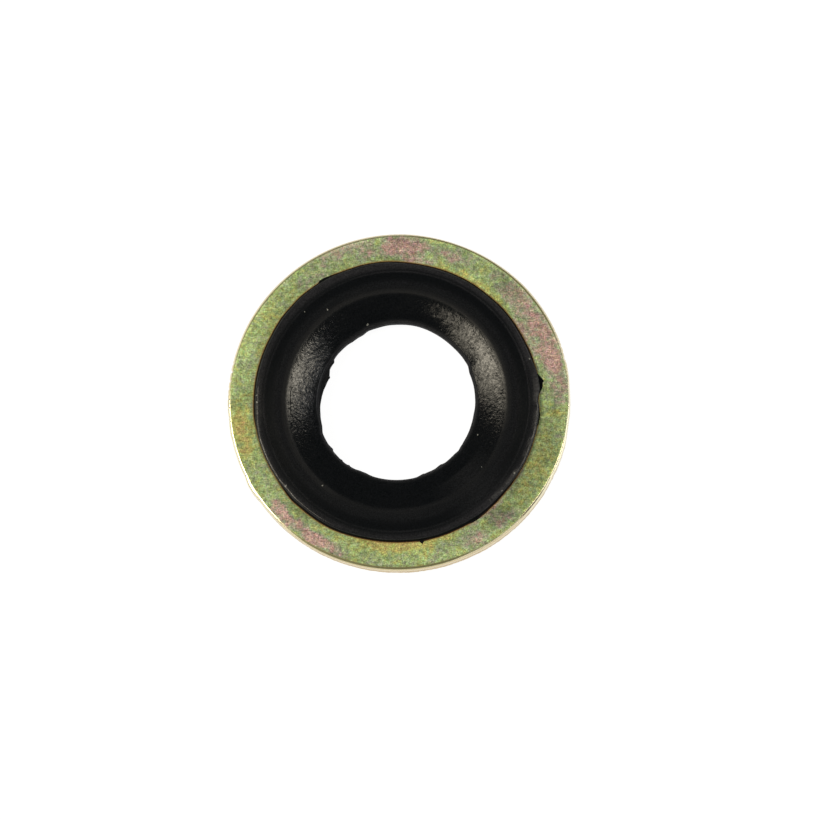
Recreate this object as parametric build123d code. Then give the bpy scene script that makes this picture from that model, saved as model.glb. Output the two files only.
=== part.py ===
from build123d import *
import os
from math import radians, tan

os.makedirs("parts", exist_ok=True)

# A bonded sealing washer: a stamped steel ring with a rubber seal moulded and bonded into its hole.
# Millimetres. +Z runs along the bore. The washer stands on the lower crest of its seal, at z = 0,
# and the origin is below the middle of the steel ring. Both faces of the seal are alike.

# Widths across the washer, one after the other from the bore out to the rim
bore_diameter = 12.3
funnel_width = 2.55  # the slope from the bore up to the crest
crest_width = 0.20  # the level ring that seals first
bead_width = 1.56  # the gentle slope from the crest out to the mould line
shoulder_width = 0.83  # from the mould line out to where the rubber meets the steel
rim_width = 2.21  # bare steel outside the rubber

# Heights of the seal: the straight part of the bore, and how far each ring stands above the steel
bore_land_height = 1.0
crest_rise = 0.70
mould_line_rise = 0.52
shoulder_rise = 0.41
mould_line_step = 0.02  # the mould's insert leaves this step along the mould line
funnel_bulge = 0.11  # how far the middle of the funnel stands out of a straight cone

# The seal's corners and its outer wall
bore_rounding = 0.40
funnel_rounding = 6.0
crest_rounding = 0.60
bead_rounding = 0.60
shoulder_rounding = 0.26
wall_draft = 18.0  # degrees that the outer wall leans inwards, to leave the mould

# The steel ring
ring_thickness = 1.6
die_roll = 0.25  # round edge that stamping leaves on one face
shear_height = 0.70  # smooth band of the rim, counted from the die roll's face
break_width = 0.05  # how far the torn band below it draws in
key_width = 0.40  # the hole's edges are bevelled all round, and the rubber grips the bevels
key_height = 0.40

# The hole and the seal in it sit this far off the ring's middle, towards -X
hole_offset = 0.18

bore_radius = bore_diameter / 2
crest_radius = bore_radius + funnel_width
bead_radius = crest_radius + crest_width
mould_line_radius = bead_radius + bead_width
seal_radius = mould_line_radius + shoulder_width
rim_radius = seal_radius + rim_width
key_radius = seal_radius - key_width

# Heights in a section count from the washer's middle plane
face_height = ring_thickness / 2
key_land_height = face_height - key_height
crest_height = face_height + crest_rise
mould_line_height = face_height + mould_line_rise
shoulder_height = face_height + shoulder_rise
shoulder_radius = seal_radius - shoulder_rise * tan(radians(wall_draft))

ring_middle = Pos(0, 0, crest_height)
seal_middle = Pos(-hole_offset, 0, crest_height)


def turned(corners):
    """A solid turned about Z from the corners of its section: (radius, height, rounding) each."""
    points = [(radius, height) for radius, height, rounding in corners]
    roundings = [rounding for radius, height, rounding in corners]
    outline = FilletPolyline(*points, radius=roundings, close=True)
    return revolve(Plane.XZ * make_face(outline), Axis.Z)


def both_sides(corners):
    """The corners of an upper half section, followed by the same corners below the middle plane."""
    return corners + [(radius, -height, rounding) for radius, height, rounding in reversed(corners)]


def make_steel_ring():
    """The blank with its die roll, smooth band and torn band, and the bevelled hole cut through it."""
    blank = turned(
        [
            (0, face_height, 0),
            (rim_radius, face_height, die_roll),
            (rim_radius, face_height - shear_height, 0),
            (rim_radius - break_width, -face_height, 0),
            (0, -face_height, 0),
        ]
    )
    hole = turned(
        both_sides(
            [
                (0, face_height, 0),
                (seal_radius, face_height, 0),
                (key_radius, key_land_height, 0),
            ]
        )
    )
    return ring_middle * blank - seal_middle * hole


def make_rubber_seal():
    """The moulded seal: bore, funnel, crest, bead, mould line, shoulder, outer wall and key."""
    mouth = Vector(bore_radius, bore_land_height / 2)
    crest = Vector(crest_radius, crest_height)
    out_of_funnel = (crest - mouth).normalized().rotate(Axis.Z, 90)
    bulge = (mouth + crest) / 2 + out_of_funnel * funnel_bulge
    section = both_sides(
        [
            (mouth.X, mouth.Y, bore_rounding),
            (bulge.X, bulge.Y, funnel_rounding),
            (crest.X, crest.Y, crest_rounding),
            (bead_radius, crest_height, bead_rounding),
            (mould_line_radius, mould_line_height, 0),
            (mould_line_radius, mould_line_height - mould_line_step, 0),
            (shoulder_radius, shoulder_height, shoulder_rounding),
            (seal_radius, face_height, 0),
            (key_radius, key_land_height, 0),
        ]
    )
    return seal_middle * turned(section)


export_step(make_steel_ring(), "parts/steel_ring.step")
export_step(make_rubber_seal(), "parts/rubber_seal.step")
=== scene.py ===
"""Looks of a bonded sealing washer: a stamped steel ring under an iridescent passivate, and the black
rubber seal that is moulded and bonded in its hole. Each visible piece is turned about Z from its
section, then marked with what stamping, moulding and handling left on it. Sizes are in metres, and
angles round the washer are degrees from +X towards +Y."""

import math
import random

import bmesh
import bpy
from mathutils import Matrix, Vector, noise


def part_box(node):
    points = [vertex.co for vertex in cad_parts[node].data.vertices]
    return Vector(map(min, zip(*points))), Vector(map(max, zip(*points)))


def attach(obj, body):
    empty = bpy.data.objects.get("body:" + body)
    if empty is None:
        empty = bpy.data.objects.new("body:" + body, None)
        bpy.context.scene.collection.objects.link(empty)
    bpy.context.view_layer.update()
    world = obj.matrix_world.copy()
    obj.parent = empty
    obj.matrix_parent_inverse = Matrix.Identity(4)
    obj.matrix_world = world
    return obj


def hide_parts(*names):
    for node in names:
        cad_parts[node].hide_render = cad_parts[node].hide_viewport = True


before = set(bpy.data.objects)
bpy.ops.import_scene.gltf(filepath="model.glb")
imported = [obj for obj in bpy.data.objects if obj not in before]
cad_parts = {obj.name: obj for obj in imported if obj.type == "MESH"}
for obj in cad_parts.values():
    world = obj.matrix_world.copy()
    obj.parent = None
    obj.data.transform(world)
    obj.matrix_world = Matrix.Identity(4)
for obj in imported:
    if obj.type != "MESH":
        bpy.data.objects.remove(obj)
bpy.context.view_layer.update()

MM = 0.001
DEG = math.pi / 180

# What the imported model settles
ring_low, ring_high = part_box("steel_ring")
seal_low, seal_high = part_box("rubber_seal")
RIM_RADIUS = (ring_high.x - ring_low.x) / 2
FACE_HEIGHT = ring_high.z
BACK_HEIGHT = ring_low.z
SEAL_RADIUS = (seal_high.y - seal_low.y) / 2
SEAL_OFFSET = (seal_high.x + seal_low.x) / 2
SEAL_TOP = seal_high.z
MIDDLE = SEAL_TOP / 2

# The steel's section
DIE_ROLL = 0.25 * MM
SHEAR_HEIGHT = 0.70 * MM  # burnished band, counted down from the face with the die roll
BREAK_WIDTH = 0.05 * MM  # how far the torn band draws in
KEY_WIDTH = 0.40 * MM
KEY_HEIGHT = 0.40 * MM
LIP_WIDTH = 0.15 * MM  # stained line on the steel beside the rubber

# The seal's section, from the bore outwards
BORE_RADIUS = 6.15 * MM
BORE_LAND = 0.50 * MM  # half the height between the bore's two mouths
CREST_RADIUS = 8.76 * MM
CREST_WIDTH = 0.50 * MM
CREST_SHIFT = -0.09 * MM  # how far the crest and the bead sit off the bore, along Y
FUNNEL_BULGE = 0.11 * MM  # how far the funnel's middle stands out of a straight cone
MOULD_LINE_RADIUS = 10.46 * MM
MOULD_LINE_RISE = 0.52 * MM
MOULD_LINE_RIDGE = 0.006 * MM  # how far the mould line stands up where it shows
SHOULDER_RISE = 0.41 * MM
WALL_DRAFT = 18 * DEG
BORE_ROUNDING = 0.40 * MM
BULGE_ROUNDING = 12.0 * MM
CREST_ROUNDING = 0.65 * MM
BEAD_ROUNDING = 4.6 * MM
SHOULDER_ROUNDING = 0.26 * MM
FLASH_WIDTH = 0.03 * MM  # thin rubber that crept over the steel all round
FLASH_HEIGHT = 0.04 * MM
KEY_RADIUS = SEAL_RADIUS - KEY_WIDTH

HALF_STEEL = FACE_HEIGHT - MIDDLE
ROLL_RADIUS = RIM_RADIUS - DIE_ROLL  # where the flat face ends and the die roll begins

# Where the seal's crest is painted pale, by rubbing and a painted highlight, and rubbed dull, and where its
# shift begins, as radii
PALE_START = 8.50 * MM
PALE_END = 10.0 * MM
DULL_START = 8.58 * MM
DULL_END = 9.30 * MM
SHIFT_START = 7.0 * MM

UNDERSIDE_TURN = 137  # degrees by which the seal's flash, shoulder and scuffs are turned below
BACK_TONE = 0.97  # how light the steel's lower face is, where 1 is plain
NEAR = 0.001 * MM  # two lengths that differ by less are the same

RING_TURNS = 1440
SEAL_TURNS = 720
SECTORS = 16  # a body is turned one sector at a time
HIDDEN_STEP = 0.6 * MM  # between the mesh's rings where steel and rubber meet, out of sight
SEGMENT_TURN = 10 * DEG  # the most that one straight piece of a rounded corner turns


# ---------------------------------------------------------------- turning a section into a body


def round_corner(bm, corner, rounding, step):
    """Replaces one corner of a section's outline by an arc of straight pieces, a step long at most."""
    sides = [(edge.other_vert(corner).co - corner.co).normalized() for edge in corner.link_edges]
    opening = sides[0].angle(sides[1])
    turn = math.pi - opening
    pieces = math.ceil(max(turn / SEGMENT_TURN, turn * rounding / step, 3))
    bmesh.ops.bevel(
        bm, geom=[corner], offset=rounding / math.tan(opening / 2), offset_type="OFFSET",
        segments=pieces, profile=0.5, affect="VERTICES", material=-1,
    )


def section_outline(corners, ring_step):
    """A section's closed outline in the XZ plane, its corners rounded and its lengths divided."""
    bm = bmesh.new()
    outline = [bm.verts.new((radius, 0, height)) for radius, height, rounding in corners]
    bm.faces.new(outline)
    for corner, (radius, height, rounding) in zip(outline, corners):
        if rounding:
            round_corner(bm, corner, rounding, ring_step(radius, height))
    bmesh.ops.delete(bm, geom=bm.faces[:], context="FACES_ONLY")
    for edge in bm.edges[:]:
        middle = (edge.verts[0].co + edge.verts[1].co) / 2
        cuts = int(edge.calc_length() / ring_step(middle.x, middle.z))
        if cuts:
            bmesh.ops.subdivide_edges(bm, edges=[edge], cuts=cuts)
    return bm


def turned_body(corners, ring_step, turns):
    """Turns a section about Z. Its corners are (radius, height, rounding), and ring_step(radius,
    height) is the most that the mesh's rings lie apart there."""
    bm = section_outline(corners, ring_step)
    sector = 2 * math.pi / SECTORS
    bmesh.ops.spin(
        bm, geom=bm.verts[:] + bm.edges[:], cent=(0, 0, 0), axis=(0, 0, 1), angle=sector,
        steps=turns // SECTORS,
    )
    done = 1
    while done < SECTORS:
        copy = bmesh.ops.duplicate(bm, geom=bm.verts[:] + bm.edges[:] + bm.faces[:])["geom"]
        verts = [part for part in copy if isinstance(part, bmesh.types.BMVert)]
        bmesh.ops.rotate(bm, verts=verts, cent=(0, 0, 0), matrix=Matrix.Rotation(sector * done, 3, "Z"))
        done *= 2
    bmesh.ops.remove_doubles(bm, verts=bm.verts[:], dist=0.0005 * MM)
    bmesh.ops.recalc_face_normals(bm, faces=bm.faces[:])
    return bm


def finished_piece(bm, name, node, material):
    """Makes the mesh an object that rides on the washer and stands for one CAD node."""
    mesh = bpy.data.meshes.new(name)
    bm.to_mesh(mesh)
    bm.free()
    mesh.materials.append(material)
    mesh.shade_smooth()
    piece = bpy.data.objects.new(name, mesh)
    bpy.context.scene.collection.objects.link(piece)
    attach(piece, "root")
    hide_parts(node)
    return piece


# ---------------------------------------------------------------- shapes of marks round the washer


def turn_between(angle, middle):
    """The shortest way round from middle to angle, in degrees."""
    return (angle - middle + 180) % 360 - 180


def smooth(value):
    """0 below 0, 1 above 1, and eased between."""
    value = min(max(value, 0), 1)
    return value * value * (3 - 2 * value)


def band(value, start, rising, end, falling):
    """0 up to start, 1 once past rising, and back to 0 over the falling that ends at end."""
    return smooth((value - start) / rising) * smooth((end - value) / falling)


def place_at(radius, angle, height=0):
    """The place at a radius, an angle in degrees and a height."""
    return Vector((radius * math.cos(angle * DEG), radius * math.sin(angle * DEG), height))


def hump(angle, middle, half_width):
    """A rounded hump: 1 at middle, 0 from half_width on."""
    return smooth(1 - abs(turn_between(angle, middle)) / half_width)


def stretch(angle, start, end, ease):
    """1 from start to end, falling to 0 over the ease outside them."""
    middle = (start + end) / 2
    return smooth(1 - (abs(turn_between(angle, middle)) - (end - start) / 2) / ease)


def tooth(angle, tip, before, after):
    """A pointed tooth: 1 at its tip, falling straight to 0 over each side's own width."""
    away = turn_between(angle, tip)
    return max(0, 1 + away / before if away < 0 else 1 - away / after)


def around(angle, waves, seed, height=0):
    """Noise from -1 to 1 of about so many waves in one turn, which closes on itself."""
    return noise.noise(place_at(waves / (2 * math.pi), angle, seed + height))


def grain(point, size, seed):
    """Noise from -1 to 1 whose lumps are about size across."""
    return noise.noise(point / size + Vector((seed, seed, seed)))


def seat_reach(angle):
    """How far the line between steel and rubber stands out from its circle."""
    reach = -0.14 * stretch(angle, 28, 76, 20)
    reach += 0.06 * hump(angle, 104, 18) + 0.09 * stretch(angle, 120, 141, 14)
    reach -= 0.13 * hump(angle, 0.5, 5)
    reach += 0.11 * stretch(angle, 226, 242, 16)
    reach += 0.06 * hump(angle, 295, 22)
    reach += 0.035 * stretch(angle, 238, 286, 8) - 0.03 * stretch(angle, 88, 178, 10)
    reach += 0.035 * stretch(angle, 118, 132, 6) - 0.035 * stretch(angle, 10, 15, 5)
    reach -= 0.03 * hump(angle, 50, 8)
    reach -= 0.045 * stretch(angle, 230, 272, 8) + 0.05 * stretch(angle, 192, 216, 8)
    reach += 0.04 * hump(angle, 305, 8) - 0.06 * stretch(angle, 322, 358, 8)
    return (reach + 0.012 * around(angle, 70, 3)) * MM


# ---------------------------------------------------------------- the steel ring

# Colours of the passivate's film, as places on the colour ramp in make_steel
OLIVE, STRAW, WHEAT, LEAF, GREY, TAN, ROSE, SALMON = 0.0, 0.18, 0.28, 0.38, 0.55, 0.70, 0.87, 1.0

# Patches on the upper face: colour, middle and half angle, then middle and half width across the rim
# from 0 at the rubber to 1 at the edge
FACE_PATCHES = [
    (ROSE, 26, 22, 0.60, 0.52),
    (SALMON, 14, 7, 0.62, 0.34),
    (TAN, 4, 6, 0.70, 0.40),
    (TAN, 44, 12, 0.52, 0.40),
    (STRAW, 56, 24, 0.08, 0.20),
    (ROSE, 89, 17, 0.55, 0.48),
    (TAN, 82, 7, 0.16, 0.24),
    (TAN, 71, 7, 0.50, 0.30),
    (TAN, 30, 8, 0.10, 0.24),
    (TAN, 318, 30, 0.02, 0.17),
    (TAN, 110, 14, 0.80, 0.40),
    (GREY, 121, 9, 0.30, 0.50),
    (GREY, 163, 6, 0.42, 0.26),
    (OLIVE, 191, 12, 0.62, 0.46),
    (ROSE, 226, 11, 0.66, 0.36),
    (SALMON, 240, 11, 0.68, 0.34),
    (OLIVE, 270, 24, 0.10, 0.36),
    (TAN, 299, 6, 0.62, 0.34),
    (TAN, 311, 6, 0.55, 0.36),
    (WHEAT, 335, 22, 0.45, 0.60),
]

# Where the upper face is darker or lighter: change of tone, middle and half angle, middle and half
# width across the rim
FACE_TONES = [
    (-0.33, 332, 34, 0.36, 0.60),
    (0.18, 162, 24, 0.78, 0.50),
    (0.18, 161, 9, 0.52, 0.30),
    (-0.09, 150, 20, 0.10, 0.30),
    (-0.12, 161, 7, 0.08, 0.26),
    (-0.08, 181, 8, 0.50, 0.30),
    (0.08, 214, 12, 0.55, 0.40),
    (0.08, 232, 20, 0.75, 0.45),
    (0.18, 242, 8, 0.85, 0.36),
    (-0.40, 231, 10, 0.12, 0.30),
    (0.09, 221, 8, 0.40, 0.60),
    (-0.10, 122, 22, 0.22, 0.40),
    (-0.15, 111, 8, 0.10, 0.30),
    (0.28, 79, 7, 0.14, 0.24),
    (-0.28, 92, 7, 0.12, 0.28),
    (-0.10, 90, 8, 0.86, 0.30),
    (0.14, 24, 18, 0.08, 0.28),
    (0.24, 59, 16, 0.08, 0.28),
    (-0.22, 50, 9, 0.58, 0.40),
    (0.12, 41, 8, 0.84, 0.34),
    (0.15, 105, 12, 0.80, 0.36),
    (0.12, 276, 14, 0.26, 0.50),
    (-0.34, 311, 8, 0.40, 0.42),
    (0.18, 297, 14, 0.84, 0.30),
    (0.06, 272, 20, 0.60, 0.60),
    (0.12, 285, 10, 0.86, 0.36),
    (0.09, 302, 16, 0.90, 0.34),
]


def patch_weight(angle, across, patch, warp):
    """How much of a patch shows at a place, with edges that the warp makes uneven."""
    _, middle, half_angle, middle_across, half_across = patch
    away = math.hypot(turn_between(angle, middle) / half_angle, (across - middle_across) / half_across)
    return 0.88 * smooth(1.05 * (1.18 - away + 0.42 * warp))


def face_film(point, angle, across):
    """The film's colour and tone at a place on the upper face."""
    film = LEAF + 0.07 * grain(point, 1.6 * MM, 11)
    tone = 1.0
    for index, patch in enumerate(FACE_PATCHES):
        warp = grain(point, 1.1 * MM, 20 + index) + 0.6 * grain(point, 0.4 * MM, 40 + index)
        weight = patch_weight(angle, across, patch, warp)
        film += (patch[0] - film) * weight
    for index, patch in enumerate(FACE_TONES):
        tone *= 1 + patch[0] * patch_weight(angle, across, patch, grain(point, 1.3 * MM, 50 + index))
    return film, tone


def back_film(point):
    """The film's colour and tone on the lower face, which nothing but chance has patterned."""
    drift = grain(point, 3.2 * MM, 71) + 0.5 * grain(point, 1.2 * MM, 72)
    return LEAF + 0.55 * smooth(2.2 * drift - 0.3) - 0.3 * smooth(-2.2 * drift - 0.5), BACK_TONE


def ring_section():
    """The ring's corners: the bevelled hole, the face, the die roll, the sheared edge and the back."""
    return [
        (KEY_RADIUS, BACK_HEIGHT + KEY_HEIGHT, 0),
        (KEY_RADIUS, FACE_HEIGHT - KEY_HEIGHT, 0),
        (SEAL_RADIUS, FACE_HEIGHT, 0),
        (SEAL_RADIUS + LIP_WIDTH / 2, FACE_HEIGHT, 0),
        (SEAL_RADIUS + LIP_WIDTH, FACE_HEIGHT, 0),
        (RIM_RADIUS, FACE_HEIGHT, DIE_ROLL),
        (RIM_RADIUS, FACE_HEIGHT - SHEAR_HEIGHT, 0),
        (RIM_RADIUS - BREAK_WIDTH, BACK_HEIGHT, 0.03 * MM),
        (SEAL_RADIUS, BACK_HEIGHT, 0),
    ]


def ring_ring_step(radius, height):
    """How far the steel mesh's rings may lie apart: close together on the rim and the die roll."""
    if radius < SEAL_RADIUS - 0.1 * MM:
        return HIDDEN_STEP
    if radius > RIM_RADIUS - 0.1 * MM:
        return 0.09 * MM
    if radius > ROLL_RADIUS - 0.2 * MM and height > MIDDLE:
        return 0.06 * MM
    return 0.19 * MM if height > MIDDLE else 0.26 * MM


def rim_nicks():
    """Nicks in the rim as (angle, half width in degrees, depth in millimetres): two deep ones, and
    rows of shallow ones on either side of the ring."""
    chance = random.Random(5)
    # The angles 169.2 and 18.9 are another program's output.
    nicks = [(169.2, 0.62, 0.17), (172.4, 0.55, 0.13), (166.4, 0.5, 0.05), (175.0, 0.5, 0.07)]
    for start, end, step, depth in ((177, 200, 1.25, 0.035), (9, 26, 1.7, 0.035), (205, 236, 2.6, 0.02)):
        angle = start
        while angle < end:
            nicks.append((angle, chance.uniform(0.35, 0.6), depth * chance.uniform(0.4, 1.3)))
            angle += step * chance.uniform(0.75, 1.25)
    nicks += [(18.9, 0.5, 0.07), (14.4, 0.5, 0.07), (358, 0.4, 0.04)]
    return nicks


def rim_reach(angle):
    """How far the rim stands out from its circle."""
    reach = 0.035 * stretch(angle, 14, 42, 12) - 0.03 * hump(angle, 68, 18)
    reach += 0.03 * stretch(angle, 90, 150, 12)
    reach += 0.03 * hump(angle, 182, 10) + 0.04 * stretch(angle, 304, 326, 10) - 0.045 * hump(angle, 352, 8)
    reach += 0.10 * stretch(angle, 209, 212, 3.5) - 0.035 * hump(angle, 3, 8) - 0.04 * hump(angle, 15, 3)
    reach += 0.03 * hump(angle, 190.5, 3) - 0.04 * hump(angle, 185, 3) + 0.035 * stretch(angle, 337, 345, 4)
    return reach * MM


def bare_and_glint(angle):
    """Where handling has rubbed the rim's upper edge down to bare metal, and where it is painted near white
    as a painted highlight from the side lamps.
    """
    return max(stretch(angle, 184, 220, 14), stretch(angle, 322, 364, 12))


def dark_band_end(angle):
    """The lean in degrees at which the die roll's darker band, darker film and painted shade, ends."""
    end = 37 + 20 * stretch(angle, 240, 284, 12) + 2 * hump(angle, 302, 18)
    return end + 4 * stretch(angle, 30, 80, 12)


def roll_darkening(angle, lean):
    """How much darker the die roll is painted at a lean in degrees: partly darker film, partly painted
    shade where it reflects the dark room.
    """
    lost = max(bare_and_glint(angle), hump(angle, 311, 24), 0.5 * hump(angle, 90, 10), 0.5 * hump(angle, 165, 9))
    lost = max(lost, 0.8 * hump(angle, 15, 10))
    kept = 1 - 0.97 * lost
    start = 7 - 8 * stretch(angle, 246, 315, 15) - 6 * stretch(angle, 30, 80, 12)
    return kept * band(lean, start, 8, dark_band_end(angle), 13)


def polish_and_glint_share(angle):
    """How strongly the line where the die roll begins is painted lighter: partly polish, partly a painted
    edge highlight.
    """
    share = 0.65 * stretch(angle, 20, 165, 12) + 0.6 * hump(angle, 14, 10) + 0.3 * hump(angle, 112, 14)
    rest = (0.3 + 0.2 * around(angle, 40, 35)) * (1 - bare_and_glint(angle))
    return share + rest * (1 - stretch(angle, 246, 312, 12))


def mark_ring(bm):
    """Moves the ring's points to where stamping and handling left them, and colours its film, with painted
    shade, highlights and reflection on the die roll.
    """
    film = bm.verts.layers.float.new("film")
    tone = bm.verts.layers.float.new("tone")
    wall = bm.verts.layers.float.new("wall")  # 0 on the faces, 1 burnished, 2 torn
    lip = bm.verts.layers.float.new("lip")
    roll_film_and_shade = bm.verts.layers.float.new("roll_film_and_shade")  # the die roll's darker band: darker film and painted shade
    pale = bm.verts.layers.float.new("pale")  # lighter further down the die roll: thinner film and a painted reflection of the white table
    polish_and_glint = bm.verts.layers.float.new("polish_and_glint")  # the line where the die roll begins, painted lighter: polish and a painted edge highlight
    bare = bm.verts.layers.float.new("bare")
    nicks = rim_nicks()
    shear_end = FACE_HEIGHT - SHEAR_HEIGHT
    for vert in bm.verts:
        x, y, height = vert.co
        radius = math.hypot(x, y)
        angle = math.degrees(math.atan2(y, x)) % 360
        across = (radius - SEAL_RADIUS) / (RIM_RADIUS - SEAL_RADIUS)
        if height > FACE_HEIGHT - DIE_ROLL:
            vert[film], vert[tone] = face_film(vert.co, angle, across)
        else:
            vert[film], vert[tone] = back_film(vert.co)
        vert[lip] = smooth(2 * (SEAL_RADIUS + LIP_WIDTH - radius) / LIP_WIDTH) if height > MIDDLE else 0

        past_face = radius - ROLL_RADIUS
        edge = smooth(past_face / DIE_ROLL)
        ragged = 0.05 * MM * around(angle, 260, 31) + 0.04 * MM * around(angle, 60, 32)
        torn = smooth((shear_end + ragged - height) / (0.10 * MM)) * edge
        onset = smooth(past_face / (0.05 * MM))
        vert[wall] = smooth((FACE_HEIGHT - 0.09 * MM - height) / (0.06 * MM)) * onset + torn
        if height > FACE_HEIGHT - DIE_ROLL and across > 0.5:
            lean = math.degrees(math.acos(1 - min((FACE_HEIGHT - height) / DIE_ROLL, 1)))
            vert[roll_film_and_shade] = roll_darkening(angle, lean) * onset
            # Painted reflection of the white table, with thinner film, lower on the die roll.
            vert[pale] = smooth((lean - dark_band_end(angle) + 12) / 13) * onset
            # Painted shade: the rim's edge is darker at the front, from 248 to 308 degrees, where it faces
            # no lamp.
            darker = 0.13 * stretch(angle, 248, 308, 14)
            vert[tone] *= 1 - darker * smooth(past_face / (0.10 * MM) + 1)
            start = 4 + 9 * stretch(angle, 326, 366, 10) + 5 * hump(angle, 226, 10)
            # Bare metal, painted near white as a painted highlight where the rim faces the side lamps.
            vert[bare] = bare_and_glint(angle) * smooth((lean - start) / 14)
            vert[wall] = max(vert[wall], vert[bare])
            # Painted edge highlight, with some polish, along the start of the die roll.
            vert[polish_and_glint] = smooth(1 - abs(past_face) / (0.09 * MM)) * polish_and_glint_share(angle)
        radius -= edge * torn * MM * (0.02 + 0.035 * around(angle, 330, 33, height / (0.35 * MM)))
        radius += edge * rim_reach(angle)
        for middle, half_width, depth in nicks:
            if abs(turn_between(angle, middle)) < half_width:
                above = smooth((height - shear_end + 0.3 * MM) / (0.3 * MM))
                radius -= depth * MM * hump(angle, middle, half_width) * edge * above
        if height < BACK_HEIGHT + 0.02 * MM and edge > 0.5:
            height -= 0.035 * MM * max(0, 0.4 + around(angle, 90, 34))
        inner = smooth(1 - across / 0.7)
        radius += seat_reach(angle) * inner
        moved_x = radius * math.cos(angle * DEG) + SEAL_OFFSET * inner
        vert.co = (moved_x, radius * math.sin(angle * DEG), height)


def make_ring_shell(material):
    bm = turned_body(ring_section(), ring_ring_step, RING_TURNS)
    mark_ring(bm)
    return finished_piece(bm, "ring_shell", "steel_ring", material)


# ---------------------------------------------------------------- the rubber seal


def seal_section():
    """The seal's corners: from the bore up to the crest, out to the key, and the same again below."""
    crest_edge = CREST_RADIUS + CREST_WIDTH
    line_height = FACE_HEIGHT + MOULD_LINE_RISE
    shoulder_height = FACE_HEIGHT + SHOULDER_RISE
    shoulder_radius = SEAL_RADIUS - SHOULDER_RISE * math.tan(WALL_DRAFT)
    foot_radius = SEAL_RADIUS - FLASH_HEIGHT * math.tan(WALL_DRAFT)
    flash_radii = [SEAL_RADIUS + part * FLASH_WIDTH for part in (0.25, 0.5, 0.75, 1)]
    mouth = Vector((BORE_RADIUS, MIDDLE + BORE_LAND))
    crest = Vector((CREST_RADIUS, SEAL_TOP))
    bulge = (mouth + crest) / 2 + (crest - mouth).orthogonal().normalized() * FUNNEL_BULGE
    upper = [
        (mouth.x, mouth.y, BORE_ROUNDING),
        (bulge.x, bulge.y, BULGE_ROUNDING),
        (crest.x, crest.y, CREST_ROUNDING),
        (crest_edge, SEAL_TOP, BEAD_ROUNDING),
        (MOULD_LINE_RADIUS, line_height, 0),
        (shoulder_radius, shoulder_height, SHOULDER_ROUNDING),
        (foot_radius, FACE_HEIGHT + FLASH_HEIGHT, 0),
        *[(radius, FACE_HEIGHT + FLASH_HEIGHT, 0) for radius in flash_radii],
        (SEAL_RADIUS + FLASH_WIDTH, FACE_HEIGHT, 0),
        (KEY_RADIUS, FACE_HEIGHT - KEY_HEIGHT, 0),
    ]
    lower = [(radius, 2 * MIDDLE - height, rounding) for radius, height, rounding in reversed(upper)]
    return upper + lower


def seal_ring_step(radius, height):
    """How far the rubber mesh's rings may lie apart: close together in the bore and on top."""
    if abs(height - MIDDLE) < HALF_STEEL - 0.01 * MM and radius > BORE_RADIUS + 1 * MM:
        return HIDDEN_STEP
    if radius < BORE_RADIUS + 0.01 * MM:
        return 0.07 * MM
    return 0.13 * MM if height > MIDDLE else 0.27 * MM


def bore_reach(angle):
    """How far the trimmed bore stands out from its circle: wide at the top and the lower left."""
    reach = 0.18 * stretch(angle, 30, 110, 8) + 0.09 * hump(angle, 78, 26)
    reach -= 0.02 * hump(angle, 46, 10)
    reach += 0.03 * hump(angle, 97, 10) + 0.03 * hump(angle, 119, 5)
    reach += 0.04 * stretch(angle, 130, 142, 6)
    reach += 0.17 * stretch(angle, 203, 235, 8)
    reach += 0.05 * stretch(angle, 254, 282, 8)
    reach += 0.03 * stretch(angle, 0, 24, 8) + 0.05 * hump(angle, 321, 4)
    reach += 0.03 * hump(angle, 185, 8) - 0.05 * hump(angle, 235, 6) - 0.03 * hump(angle, 145, 6)
    return reach * MM


def bore_tear(angle):
    """How far the thin torn skin at the middle of the bore stands into it."""
    tear = max(0.39 * tooth(angle, 158.6, 10, 31), 0.16 * stretch(angle, 146.5, 152.5, 3))
    tear += 0.06 * tooth(angle, 158.2, 1.3, 1.6)
    tear += 0.07 * hump(angle, 125.5, 4) + 0.05 * hump(angle, 187, 8)
    tear += 0.11 * tooth(angle, 215.5, 5, 2) + 0.04 * hump(angle, 222.5, 4)
    tear += 0.07 * tooth(angle, 226, 1.5, 3) + 0.10 * tooth(angle, 232.5, 1.5, 2)
    tear += 0.07 * hump(angle, 246, 5) + 0.03 * stretch(angle, 155, 165, 5) + 0.03 * hump(angle, 290, 5)
    tear += 0.07 * stretch(angle, 287, 305, 5) + 0.025 * stretch(angle, 330, 350, 6)
    tear += 0.03 * tooth(angle, 290, 3, 1) + 0.03 * tooth(angle, 305, 3, 1)
    tear += 0.025 * stretch(angle, 296, 366, 8) + 0.03 * hump(angle, 302.5, 4)
    ragged = 0.4 + 0.6 * stretch(angle, 196, 320, 12)
    tear += ragged * (0.020 * around(angle, 60, 41) + 0.012 * around(angle, 150, 42))
    return tear * MM


def flash_reach(angle):
    """How far the thin flash reaches over the steel: a nib, a step, a thorn and ragged stretches."""
    flash = 0.13 * tooth(angle, 7.5, 0.6, 4) + 0.28 * tooth(angle, 7.5, 5.2, 3.6)
    flash += 0.06 * hump(angle, 5.4, 2.2)
    flash += 0.08 * stretch(angle, 350.5, 354.5, 1.5)
    flash += 0.12 * tooth(angle, 121.8, 8, 1.3)
    flash += 0.22 * tooth(angle, 280.0, 0.9, 0.9) + 0.05 * hump(angle, 280.5, 4)
    flash += 0.04 * stretch(angle, 302, 308, 3)
    ragged = stretch(angle, 284, 359, 10) + 0.35 * stretch(angle, 105, 140, 8)
    flash += ragged * 0.05 * max(0, around(angle, 55, 45) + 0.5 * around(angle, 130, 46))
    return (flash + 0.008 * (1 + around(angle, 90, 47))) * MM


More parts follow.
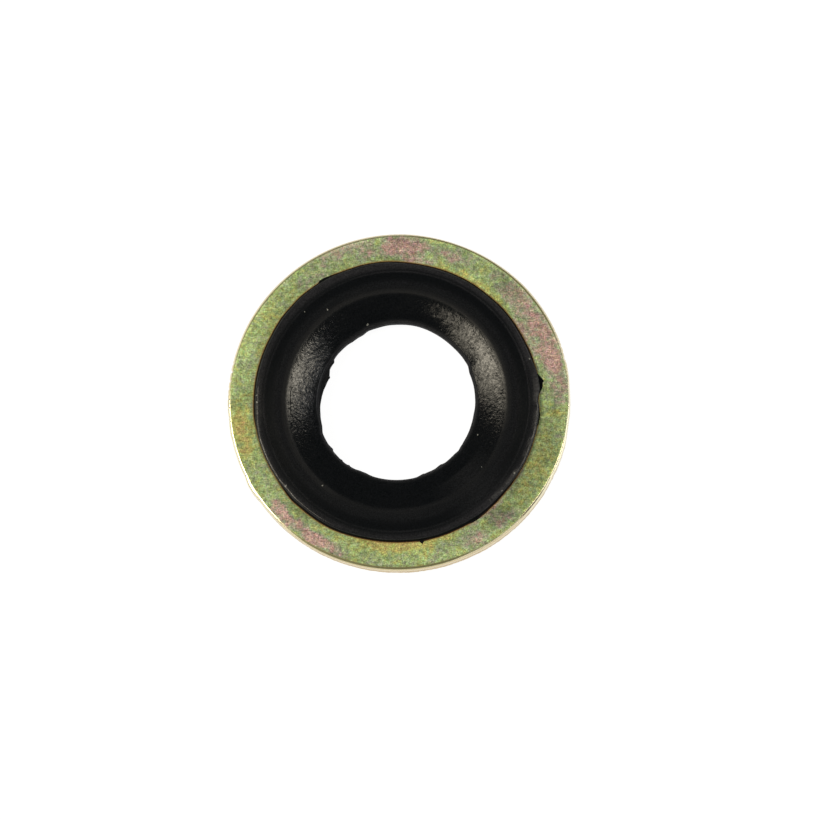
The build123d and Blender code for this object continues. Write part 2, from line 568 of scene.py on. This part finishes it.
def shoulder_reach(angle):
    """How far the shoulder's ridge stands out from its circle."""
    reach = 0.18 * stretch(angle, 328, 368, 12) + 0.16 * stretch(angle, 194, 212, 10)
    reach += 0.03 * stretch(angle, 312, 375, 10) * around(angle, 80, 36) - 0.05 * hump(angle, 298, 18)
    return reach * MM


def rub_and_sheen_share(angle, radius, level):
    """How pale the skin is painted: rubbed at the bore's mouth, and rubbed with a painted highlight on the
    crest, the mould line and the shoulder, but not on the wall below it."""
    mouth = 0.75 - 0.4 * stretch(angle, 145, 200, 15)
    mouth *= smooth((BORE_RADIUS + 0.42 * MM - radius) / (0.42 * MM))
    crest = 0.22 * band(radius, PALE_START, 0.3 * MM, PALE_END, 0.6 * MM)
    ridge = 0.58 + 0.24 * stretch(angle, 5, 125, 20)
    ridge *= smooth((radius - MOULD_LINE_RADIUS) / (0.45 * MM))
    # Painted highlight: the ridge is lighter round 312 degrees, where a glint falls.
    ridge += 0.30 * hump(angle, 312, 24)
    ridge *= smooth((level - HALF_STEEL - SHOULDER_RISE + 0.16 * MM) / (0.10 * MM))
    line = 0.0
    # Painted highlight: the mould line is lighter where its edge catches the light.
    if abs(radius - MOULD_LINE_RADIUS) < NEAR:
        line = (0.30 + 0.28 * stretch(angle, 10, 95, 20)) * (1 + 0.4 * around(angle, 50, 48))
    return max(mouth, crest, ridge, line)


def mark_seal(bm):
    """Moves the seal's points to where moulding and trimming left them."""
    wrinkled = bm.verts.layers.float.new("wrinkled")  # how strongly the funnel's skin shows
    torn = bm.verts.layers.float.new("torn")  # 1 on the trimmed bore and the foot
    dull = bm.verts.layers.float.new("dull")  # rubbed matt, on the crest and the shoulder
    rub_and_sheen = bm.verts.layers.float.new("rub_and_sheen")
    stained = bm.verts.layers.float.new("stained")  # the flash, brown from the bonding agent
    for vert in bm.verts:
        x, y, height = vert.co
        radius = math.hypot(x, y)
        angle = math.degrees(math.atan2(y, x)) % 360
        level = abs(height - MIDDLE)
        side_angle = angle if height > MIDDLE else (angle + UNDERSIDE_TURN) % 360
        vert[wrinkled] = band(radius, BORE_RADIUS, 0.5 * MM, CREST_RADIUS, 0.4 * MM)
        vert[torn] = 0
        if radius < BORE_RADIUS + 0.3 * MM:
            vert[torn] = smooth((BORE_LAND - level) / (0.15 * MM) + 0.8)
        if radius > SEAL_RADIUS - 0.11 * MM:
            vert[torn] = 1
        vert[dull] = band(radius, DULL_START, 0.18 * MM, DULL_END, 0.45 * MM)
        vert[dull] *= 1 - 0.5 * stretch(side_angle, 245, 340, 12)
        if radius > MOULD_LINE_RADIUS + 0.3 * MM:
            vert[dull] = 1.2 * stretch(side_angle, 316, 366, 8) * smooth(0.6 + 1.8 * around(angle, 75, 37))
            vert[dull] = max(vert[dull], 1.3 * hump(side_angle, 5.4, 7))
        vert[rub_and_sheen] = rub_and_sheen_share(side_angle, radius, level)
        short = 1 - smooth(flash_reach(side_angle) / (0.05 * MM) - 0.5)
        vert[stained] = short if radius > SEAL_RADIUS + NEAR else 0

        bore = 1 - smooth((radius - BORE_RADIUS) / (1.3 * MM))
        outside = level > HALF_STEEL - NEAR
        line_level = HALF_STEEL + MOULD_LINE_RISE
        if abs(radius - MOULD_LINE_RADIUS) < NEAR and abs(level - line_level) < NEAR:
            shown = stretch(side_angle, 0, 125, 25) * (0.6 + 0.4 * around(angle, 30, 44))
            height += math.copysign(MOULD_LINE_RIDGE * shown, height - MIDDLE)
        foot = smooth((radius - MOULD_LINE_RADIUS) / (SEAL_RADIUS - MOULD_LINE_RADIUS))
        if outside:
            lump = grain(vert.co, 0.42 * MM, 61) + 0.6 * grain(vert.co, 0.26 * MM, 62)
            drift = grain(vert.co, 2.6 * MM, 63)
            lift = 0.006 * MM * lump * vert[wrinkled] + 0.008 * MM * drift * (1 - foot)
            height = max(height + math.copysign(lift, height - MIDDLE), 0)
        if outside and radius > SEAL_RADIUS + NEAR:
            out = (radius - SEAL_RADIUS) / FLASH_WIDTH
            radius += out * flash_reach(side_angle)
            if level > HALF_STEEL + FLASH_HEIGHT / 2:
                height -= math.copysign(0.4 * out * FLASH_HEIGHT, height - MIDDLE)
        rise = smooth((level - HALF_STEEL - FLASH_HEIGHT) / (SHOULDER_RISE - FLASH_HEIGHT))
        radius += shoulder_reach(side_angle) * rise * smooth((radius - MOULD_LINE_RADIUS) / (0.5 * MM))
        radius += seat_reach(angle) * foot + bore_reach(angle) * bore
        skin = max(0, 1 - (level / (0.16 * MM)) ** 2)
        if radius < BORE_RADIUS + 0.5 * MM:
            radius -= bore_tear(angle) * skin
        shift = CREST_SHIFT * band(radius, SHIFT_START, 1.4 * MM, SEAL_RADIUS, 0.6 * MM)
        moved_x = radius * math.cos(angle * DEG) + SEAL_OFFSET
        vert.co = (moved_x, radius * math.sin(angle * DEG) + shift, height)


def make_seal_body(material):
    bm = turned_body(seal_section(), seal_ring_step, SEAL_TURNS)
    mark_seal(bm)
    return finished_piece(bm, "seal_body", "rubber_seal", material)


# ---------------------------------------------------------------- shader helpers


def colour(red, green, blue):
    """A colour of 0 to 255, as a screen shows it, for a shader socket."""
    levels = [value / 255 for value in (red, green, blue)]
    linear = [level / 12.92 if level <= 0.04045 else ((level + 0.055) / 1.055) ** 2.4 for level in levels]
    return (*linear, 1)


def new_material(name):
    material = bpy.data.materials.new(name)
    material.use_nodes = True
    return material, material.node_tree, material.node_tree.nodes["Principled BSDF"]


def add(tree, kind, inputs, output=0, **settings):
    """Adds a node, sets or links its inputs, and returns one of its outputs."""
    node = tree.nodes.new(kind)
    for key, value in settings.items():
        setattr(node, key, value)
    for key, value in inputs.items():
        if isinstance(value, bpy.types.NodeSocket):
            tree.links.new(value, node.inputs[key])
        else:
            node.inputs[key].default_value = value
    return node.outputs[output]


def maths(tree, operation, first, second=0.0, third=0.0):
    return add(tree, "ShaderNodeMath", {0: first, 1: second, 2: third}, operation=operation)


def attribute(tree, name):
    return add(tree, "ShaderNodeAttribute", {}, output="Fac", attribute_name=name)


def lumps(tree, place, size, detail=2.0, roughness=0.5):
    """Noise of about 0 to 1 whose lumps are about size across."""
    inputs = {"Vector": place, "Scale": 1 / size, "Detail": detail, "Roughness": roughness}
    noise_value = add(tree, "ShaderNodeTexNoise", inputs)
    inputs = {"Value": noise_value, "From Min": 0.25, "From Max": 0.75}
    return add(tree, "ShaderNodeMapRange", inputs, clamp=False)


def shifted(tree, place, distance):
    """A place moved off, so that noise there is not the noise here."""
    return add(tree, "ShaderNodeVectorMath", {0: place, 1: (distance, distance, 0)})


def swing(tree, value, amount):
    """Turns a 0 to 1 value into a swing of the amount either side of 0."""
    return maths(tree, "MULTIPLY_ADD", value, 2 * amount, -amount)


def factor_swing(tree, value, amount):
    """Turns a 0 to 1 value into a factor that swings by the amount either side of 1."""
    return maths(tree, "ADD", swing(tree, value, amount), 1.0)


def factor_where(tree, mask, change):
    """A factor of 1 where the mask is 0, and of 1 + change where it is 1."""
    return maths(tree, "MULTIPLY_ADD", mask, change, 1.0)


def total(tree, *values):
    result = values[0]
    for value in values[1:]:
        result = maths(tree, "ADD", result, value)
    return result


def product(tree, *values):
    result = values[0]
    for value in values[1:]:
        result = maths(tree, "MULTIPLY", result, value)
    return result


def between(tree, value, low, high):
    """0 at low, 1 at high, eased between."""
    inputs = {"Value": value, "From Min": low, "From Max": high}
    return add(tree, "ShaderNodeMapRange", inputs, interpolation_type="SMOOTHSTEP")


def ramp(tree, value, stops):
    """A colour ramp through (position, colour) stops."""
    node = tree.nodes.new("ShaderNodeValToRGB")
    tree.links.new(value, node.inputs[0])
    elements = node.color_ramp.elements
    while len(elements) < len(stops):
        elements.new(0.5)
    for element, (position, shade) in zip(elements, stops):
        element.position = position
        element.color = shade
    return node.outputs[0]


def mixed(tree, factor, first, second, blend="MIX"):
    inputs = {0: factor, 6: first, 7: second}
    return add(tree, "ShaderNodeMix", inputs, output=2, data_type="RGBA", blend_type=blend)


def toned(tree, shade, tone):
    """A colour made lighter or darker by a factor."""
    grey = add(tree, "ShaderNodeCombineColor", {0: tone, 1: tone, 2: tone})
    return mixed(tree, 1.0, shade, grey, blend="MULTIPLY")


def bumped(tree, height, depth):
    """A bump of that depth for a height of 0 to 1."""
    return add(tree, "ShaderNodeBump", {"Height": height, "Distance": depth})


def strokes(tree, place, turn, length, width, share):
    """Short thin strokes in one direction, as a mask of 0 to 1 over about that share of the surface."""
    inputs = {"Vector": place, "Rotation": (0, 0, turn * DEG), "Scale": (1 / length, 1 / width, 1 / width)}
    stretched = add(tree, "ShaderNodeMapping", inputs)
    streaks = add(tree, "ShaderNodeTexNoise", {"Vector": stretched, "Scale": 1.0, "Detail": 1.0})
    threshold = 0.5 + 0.22 * (1 - share)
    return between(tree, streaks, threshold - 0.04, threshold + 0.06)


def flattened(tree, place):
    """A place with its height taken away."""
    return add(tree, "ShaderNodeVectorMath", {0: place, 1: (1, 1, 0)}, operation="MULTIPLY")


def upper_only(tree, place, mask):
    """A mask kept to the washer's upper side."""
    height = add(tree, "ShaderNodeSeparateXYZ", {0: place}, output=2)
    return product(tree, mask, maths(tree, "GREATER_THAN", height, MIDDLE))


# Fine lines on the upper side, each from one place to another and with a width: (angle, radius,
# angle, radius, width), in degrees and millimetres. The first scratch's ends are another program's output.
SCRATCHES = [
    (165.3, 12.99, 166.7, 12.59, 0.09),
    (270.3, 12.72, 270.4, 12.70, 0.12),
    (271.2, 12.80, 271.3, 12.77, 0.10),
]
CREASES = [
    (174.5, 8.37, 187.5, 8.40, 0.10),
    (192.4, 8.50, 192.1, 7.68, 0.07),
]


def line_mask(tree, place, lines):
    """1 on the lines and 0 off them."""
    level = flattened(tree, place)
    mask = 0.0
    for angle, radius, end_angle, end_radius, width in lines:
        start = place_at(radius * MM, angle)
        run = place_at(end_radius * MM, end_angle) - start
        away = add(tree, "ShaderNodeVectorMath", {0: level, 1: start}, operation="SUBTRACT")
        inputs = {0: away, 1: run / run.length_squared}
        along = add(tree, "ShaderNodeVectorMath", inputs, output="Value", operation="DOT_PRODUCT")
        along = add(tree, "ShaderNodeClamp", {"Value": along})
        foot = add(tree, "ShaderNodeVectorMath", {0: run, "Scale": along}, operation="SCALE")
        off = add(tree, "ShaderNodeVectorMath", {0: away, 1: foot}, output="Value", operation="DISTANCE")
        mask = maths(tree, "MAXIMUM", mask, between(tree, off, width * MM * 0.6, width * MM * 0.2))
    return upper_only(tree, place, mask)


# ---------------------------------------------------------------- materials


def make_steel():
    """Zinc plate under an iridescent yellow-green passivate; the sheared rim is brighter and barer."""
    material, tree, surface = new_material("green_passivate")
    place = add(tree, "ShaderNodeTexCoord", {}, output="Object")
    film = total(
        tree,
        attribute(tree, "film"),
        swing(tree, lumps(tree, place, 0.90 * MM), 0.10),
        swing(tree, lumps(tree, place, 0.45 * MM), 0.11),
        swing(tree, lumps(tree, place, 0.22 * MM), 0.10),
    )
    stops = [
        (OLIVE, colour(171, 157, 99)),
        (STRAW, colour(166, 169, 100)),
        (LEAF, colour(149, 169, 116)),
        (GREY, colour(145, 153, 125)),
        (0.68, colour(157, 147, 130)),  # TAN and ROSE are a little further along than these two
        (0.84, colour(170, 140, 134)),
        (SALMON, colour(182, 154, 143)),
    ]
    face = ramp(tree, film, stops)
    light = strokes(tree, place, 35, 1.2 * MM, 0.06 * MM, 0.3)
    dark = strokes(tree, place, -50, 0.9 * MM, 0.07 * MM, 0.3)
    cross = strokes(tree, place, 95, 0.8 * MM, 0.06 * MM, 0.3)
    tone = product(
        tree,
        attribute(tree, "tone"),
        # Painted edge highlight: the start of the die roll is made lighter, partly for polish.
        factor_where(tree, attribute(tree, "polish_and_glint"), 0.35),
        factor_swing(tree, lumps(tree, place, 0.55 * MM), 0.18),
        factor_swing(tree, lumps(tree, place, 0.24 * MM), 0.42),
        factor_swing(tree, lumps(tree, place, 0.11 * MM), 0.60),
        factor_where(tree, light, 0.30),
        factor_where(tree, cross, 0.25),
        factor_where(tree, dark, -0.30),
    )
    redder = total(
        tree,
        swing(tree, lumps(tree, shifted(tree, place, 3 * MM), 0.40 * MM), 0.05),
        swing(tree, lumps(tree, shifted(tree, place, 5 * MM), 0.12 * MM, detail=3.0), 0.12),
    )
    blue_lumps = lumps(tree, shifted(tree, place, 7 * MM), 0.20 * MM, detail=3.0, roughness=0.7)
    bluer = swing(tree, blue_lumps, 0.26)
    channels = {
        0: maths(tree, "ADD", redder, 1.0),
        1: maths(tree, "SUBTRACT", 1.0, redder),
        2: maths(tree, "ADD", bluer, 1.0),
    }
    tint = add(tree, "ShaderNodeCombineColor", channels)
    face = mixed(tree, 1.0, toned(tree, face, tone), tint, blend="MULTIPLY")
    face = mixed(tree, product(tree, attribute(tree, "lip"), 0.8), face, colour(142, 112, 62))
    face = mixed(tree, product(tree, line_mask(tree, place, SCRATCHES), 0.7), face, colour(78, 72, 52))

    # Painted shade, with some darker film, over the die roll where it reflects the dark room.
    face = mixed(tree, attribute(tree, "roll_film_and_shade"), face, colour(120, 117, 80))
    # Painted reflection of the white table, with thinner film, further down the die roll.
    face = mixed(tree, attribute(tree, "pale"), face, colour(232, 222, 194))

    wall = attribute(tree, "wall")
    on_edge = between(tree, wall, 0.2, 0.8)
    on_torn = between(tree, wall, 1.2, 1.8)
    # Painted highlight: the rubbed bare rim is near white on the sides that face the lamps.
    burnished = mixed(tree, attribute(tree, "bare"), colour(206, 188, 140), colour(236, 228, 196))
    marks = lumps(tree, place, 0.12 * MM, detail=3.0)
    bare = add(tree, "ShaderNodeRGB", {})
    bare.default_value = colour(206, 184, 140)
    torn = toned(tree, bare, factor_swing(tree, marks, 0.25))
    edge = mixed(tree, on_torn, burnished, torn)
    shade = mixed(tree, on_edge, face, edge)
    tree.links.new(shade, surface.inputs["Base Color"])
    roughness = total(
        tree,
        0.46,
        swing(tree, lumps(tree, place, 0.25 * MM), 0.08),
        product(tree, on_edge, -0.24),
        product(tree, on_torn, 0.25),
    )
    tree.links.new(roughness, surface.inputs["Roughness"])
    metal = total(tree, 0.50, product(tree, on_edge, 0.45))
    tree.links.new(metal, surface.inputs["Metallic"])
    texture = total(tree, marks, product(tree, light, 0.4), product(tree, dark, -0.5))
    texture = product(tree, texture, factor_where(tree, between(tree, wall, 0.1, 0.6), -0.85))
    tree.links.new(bumped(tree, texture, 0.005 * MM), surface.inputs["Normal"])
    return material


# Specks of dust on the seal's upper side: angle, radius and size across, in degrees and millimetres.
# All but the last one's angle and radius are another program's output.
DUST = [
    (110.3, 6.65, 0.16), (126.6, 9.09, 0.16), (135.3, 10.19, 0.10), (320.7, 8.64, 0.10),
    (229.7, 8.95, 0.13), (336.5, 6.94, 0.10), (17.2, 10.96, 0.14), (180.3, 11.02, 0.16),
    (177.4, 11.03, 0.10), (327.4, 11.00, 0.18), (218.0, 11.06, 0.20), (318.6, 11.05, 0.14),
]


def dust_mask(tree, place):
    """1 on the specks of dust and 0 off them."""
    level = flattened(tree, place)
    ragged = swing(tree, lumps(tree, place, 0.10 * MM), 0.06 * MM)
    mask = 0.0
    for angle, radius, size in DUST:
        spot = place_at(radius * MM, angle) + Vector((SEAL_OFFSET, 0, 0))
        away = add(tree, "ShaderNodeVectorMath", {0: level, 1: spot}, output="Value", operation="DISTANCE")
        fleck = between(tree, total(tree, away, ragged), size * MM * 0.5, size * MM * 0.2)
        mask = maths(tree, "MAXIMUM", mask, fleck)
    return upper_only(tree, place, mask)


def polar(tree, place, round_size, out_size):
    """A place for noise that is stretched along the circle (round_size) or outwards (out_size)."""
    flat = flattened(tree, place)
    way = add(tree, "ShaderNodeVectorMath", {0: flat}, operation="NORMALIZE")
    inputs = {0: way, "Scale": CREST_RADIUS / round_size}
    along = add(tree, "ShaderNodeVectorMath", inputs, operation="SCALE")
    radius = add(tree, "ShaderNodeVectorMath", {0: flat}, output="Value", operation="LENGTH")
    out = add(tree, "ShaderNodeCombineXYZ", {2: maths(tree, "DIVIDE", radius, out_size)})
    return add(tree, "ShaderNodeVectorMath", {0: along, 1: out})


def make_rubber():
    """Moulded black rubber: smooth on the bead, and with a finely wrinkled skin in the funnel."""
    material, tree, surface = new_material("moulded_rubber")
    place = add(tree, "ShaderNodeTexCoord", {}, output="Object")
    wrinkled = attribute(tree, "wrinkled")
    torn = attribute(tree, "torn")
    seal_place = add(tree, "ShaderNodeVectorMath", {0: place, 1: (SEAL_OFFSET, 0, 0)}, operation="SUBTRACT")
    rub_and_sheen = attribute(tree, "rub_and_sheen")
    streaks = factor_swing(tree, lumps(tree, polar(tree, place, 2.0 * MM, 0.12 * MM), 1.0), 0.35)
    mottle = factor_swing(tree, lumps(tree, place, 0.10 * MM, detail=3.0), 0.55)
    # Pale from rubbing, and a painted highlight on the crest, the mould line and the shoulder ridge.
    pale = product(tree, rub_and_sheen, streaks)
    shade = toned(tree, mixed(tree, pale, colour(9, 11, 13), colour(36, 36, 38)), mottle)
    shade = mixed(tree, product(tree, attribute(tree, "stained"), 0.65), shade, colour(74, 48, 22))
    shade = mixed(tree, product(tree, dust_mask(tree, place), 0.28), shade, colour(200, 200, 190))
    tree.links.new(shade, surface.inputs["Base Color"])
    dull = attribute(tree, "dull")
    polish = swing(tree, lumps(tree, shifted(tree, place, 4 * MM), 0.15 * MM), 0.07)
    roughness = total(
        tree,
        0.155,
        product(tree, polish, wrinkled),
        product(tree, torn, 0.5),
        product(tree, dull, 0.20),
    )
    tree.links.new(roughness, surface.inputs["Roughness"])
    shine = maths(tree, "MULTIPLY_ADD", torn, -0.19, 0.26)
    creased = product(tree, line_mask(tree, seal_place, CREASES), -0.85)
    uneven = maths(tree, "MAXIMUM", wrinkled, product(tree, rub_and_sheen, 1.3))
    patchy = total(
        tree,
        swing(tree, lumps(tree, shifted(tree, place, 8 * MM), 0.10 * MM), 0.62),
        swing(tree, lumps(tree, shifted(tree, place, 9 * MM), 0.20 * MM), 0.60),
        swing(tree, lumps(tree, shifted(tree, place, 11 * MM), 0.45 * MM), 0.28),
        swing(tree, lumps(tree, shifted(tree, place, 12 * MM), 1.0 * MM), 0.24),
    )
    shine = product(tree, shine, maths(tree, "ADD", creased, 1.0), factor_where(tree, uneven, patchy))
    tree.links.new(shine, surface.inputs["Specular IOR Level"])
    wrinkles = total(
        tree,
        lumps(tree, place, 0.24 * MM, detail=2.5, roughness=0.6),
        product(tree, lumps(tree, shifted(tree, place, 6 * MM), 0.12 * MM), 0.40),
        product(tree, lumps(tree, shifted(tree, place, 2 * MM), 0.45 * MM), 0.35),
        product(tree, lumps(tree, polar(tree, place, 0.20 * MM, 0.45 * MM), 1.0), 0.16),
        product(tree, lumps(tree, polar(tree, place, 1.2 * MM, 0.13 * MM), 1.0), 0.25),
    )
    height = product(tree, wrinkles, maths(tree, "MULTIPLY_ADD", wrinkled, 0.92, 0.08))
    tree.links.new(bumped(tree, height, 0.008 * MM), surface.inputs["Normal"])
    return material


def make_table_top():
    """White, and lit evenly for whatever looks at it, but it still takes the washer's shadow."""
    material, tree, surface = new_material("white_table")
    surface.inputs["Roughness"].default_value = 0.9
    surface.inputs["Specular IOR Level"].default_value = 0.0
    surface.inputs["Emission Color"].default_value = (1, 1, 1, 1)
    rays = tree.nodes.new("ShaderNodeLightPath")
    seen = maths(tree, "MAXIMUM", rays.outputs["Is Camera Ray"], rays.outputs["Is Glossy Ray"])
    seen = maths(tree, "MAXIMUM", seen, rays.outputs["Is Transmission Ray"])
    tree.links.new(product(tree, seen, 0.93), surface.inputs["Emission Strength"])
    dull = product(tree, maths(tree, "SUBTRACT", 1.0, seen), 0.65)
    tone = total(tree, dull, 0.13)
    shade = add(tree, "ShaderNodeCombineColor", {0: tone, 1: tone, 2: tone})
    tree.links.new(shade, surface.inputs["Base Color"])
    return material


# ---------------------------------------------------------------- studio


WARM = (1.0, 0.91, 0.73)
NEUTRAL = (0.96, 0.98, 1.0)
LAMP_DISTANCE = 0.6

CAMERA_HEADING = -78
CAMERA_LEAN = 11.9  # degrees from straight up
CAMERA_DISTANCE = 667 * MM
AIM_RIGHT = 0.87 * MM  # the camera aims this far right of the upper face's middle, as it sees it
AIM_DOWN = 0.685 * MM  # and this far below it

# Levels of light in the room
ROOM_LEVEL = 0.07
HORIZON_LEVEL = 0.12
SIDE_LEVEL = 0.60
MATT_LEVEL = 0.36  # what only matt surfaces get


def direction(heading, zenith):
    """A unit vector from its heading round the washer and its angle from straight up, in degrees."""
    return place_at(math.sin(zenith * DEG), heading, math.cos(zenith * DEG))


def make_camera():
    """A long lens nearly overhead, leaning towards -Y."""
    back = direction(CAMERA_HEADING, CAMERA_LEAN)
    right = Vector((0, 1, 0)).cross(back).normalized()
    up = back.cross(right)
    aim = Vector((0, 0, FACE_HEIGHT)) + right * AIM_RIGHT - up * AIM_DOWN
    data = bpy.data.cameras.new("camera")
    data.lens = 372
    data.sensor_width = 36
    data.clip_start = 10 * MM
    data.clip_end = 10
    camera = bpy.data.objects.new("camera", data)
    turn = Matrix((right, up, back)).transposed().to_4x4()
    camera.matrix_world = Matrix.Translation(aim + back * CAMERA_DISTANCE) @ turn
    bpy.context.scene.collection.objects.link(camera)
    bpy.context.scene.camera = camera


def make_softbox(name, heading, zenith, width, length, radiance, tint):
    """A soft lamp that faces the washer: its width runs up and down, its length round the washer."""
    data = bpy.data.lights.new(name, "AREA")
    data.shape = "RECTANGLE"
    data.size = length
    data.size_y = width
    data.energy = radiance * width * length * math.pi
    data.color = tint
    lamp = bpy.data.objects.new(name, data)
    way = direction(heading, zenith)
    lamp.location = way * LAMP_DISTANCE
    lamp.rotation_mode = "QUATERNION"
    lamp.rotation_quaternion = way.to_track_quat("Z", "Y")
    bpy.context.scene.collection.objects.link(lamp)


def make_world():
    """White to the camera; to the washer a dim room, lighter near the table and at either side."""
    world = bpy.data.worlds.new("studio")
    bpy.context.scene.world = world
    world.use_nodes = True
    tree = world.node_tree
    way = add(tree, "ShaderNodeTexCoord", {}, output="Generated")
    height = add(tree, "ShaderNodeSeparateXYZ", {0: way}, output=2)
    sideways = maths(tree, "ABSOLUTE", add(tree, "ShaderNodeSeparateXYZ", {0: way}, output=0))
    low = between(tree, height, 0.50, 0.15)
    room = total(
        tree,
        ROOM_LEVEL,
        product(tree, low, HORIZON_LEVEL),
        product(tree, low, between(tree, sideways, 0.55, 0.90), SIDE_LEVEL),
    )
    rays = tree.nodes.new("ShaderNodeLightPath")
    room = total(tree, room, product(tree, rays.outputs["Is Diffuse Ray"], MATT_LEVEL))
    inputs = {0: rays.outputs["Is Camera Ray"], 2: room, 3: 1.0}
    strength = add(tree, "ShaderNodeMix", inputs, data_type="FLOAT")
    background = tree.nodes["Background"]
    background.inputs["Color"].default_value = (1, 1, 1, 1)
    tree.links.new(strength, background.inputs["Strength"])


def make_table():
    bm = bmesh.new()
    bmesh.ops.create_grid(bm, x_segments=1, y_segments=1, size=1.5)
    mesh = bpy.data.meshes.new("table")
    bm.to_mesh(mesh)
    bm.free()
    mesh.materials.append(make_table_top())
    table = bpy.data.objects.new("table", mesh)
    bpy.context.scene.collection.objects.link(table)


# ---------------------------------------------------------------- the scene

make_ring_shell(make_steel())
make_seal_body(make_rubber())
make_camera()
make_world()
make_table()
make_softbox("left_softbox", 190.5, 39.5, 0.31, 0.42, 5.2, WARM)
make_softbox("left_core", 188, 37, 0.12, 0.20, 7.5, WARM)
make_softbox("right_softbox", 4, 35, 0.23, 0.30, 1.35, NEUTRAL)
make_softbox("right_core", 8, 30, 0.12, 0.20, 9.6, WARM)
make_softbox("low_softbox", -4, 75, 0.22, 0.30, 1.9, NEUTRAL)
bpy.context.scene.view_settings.view_transform = "Standard"
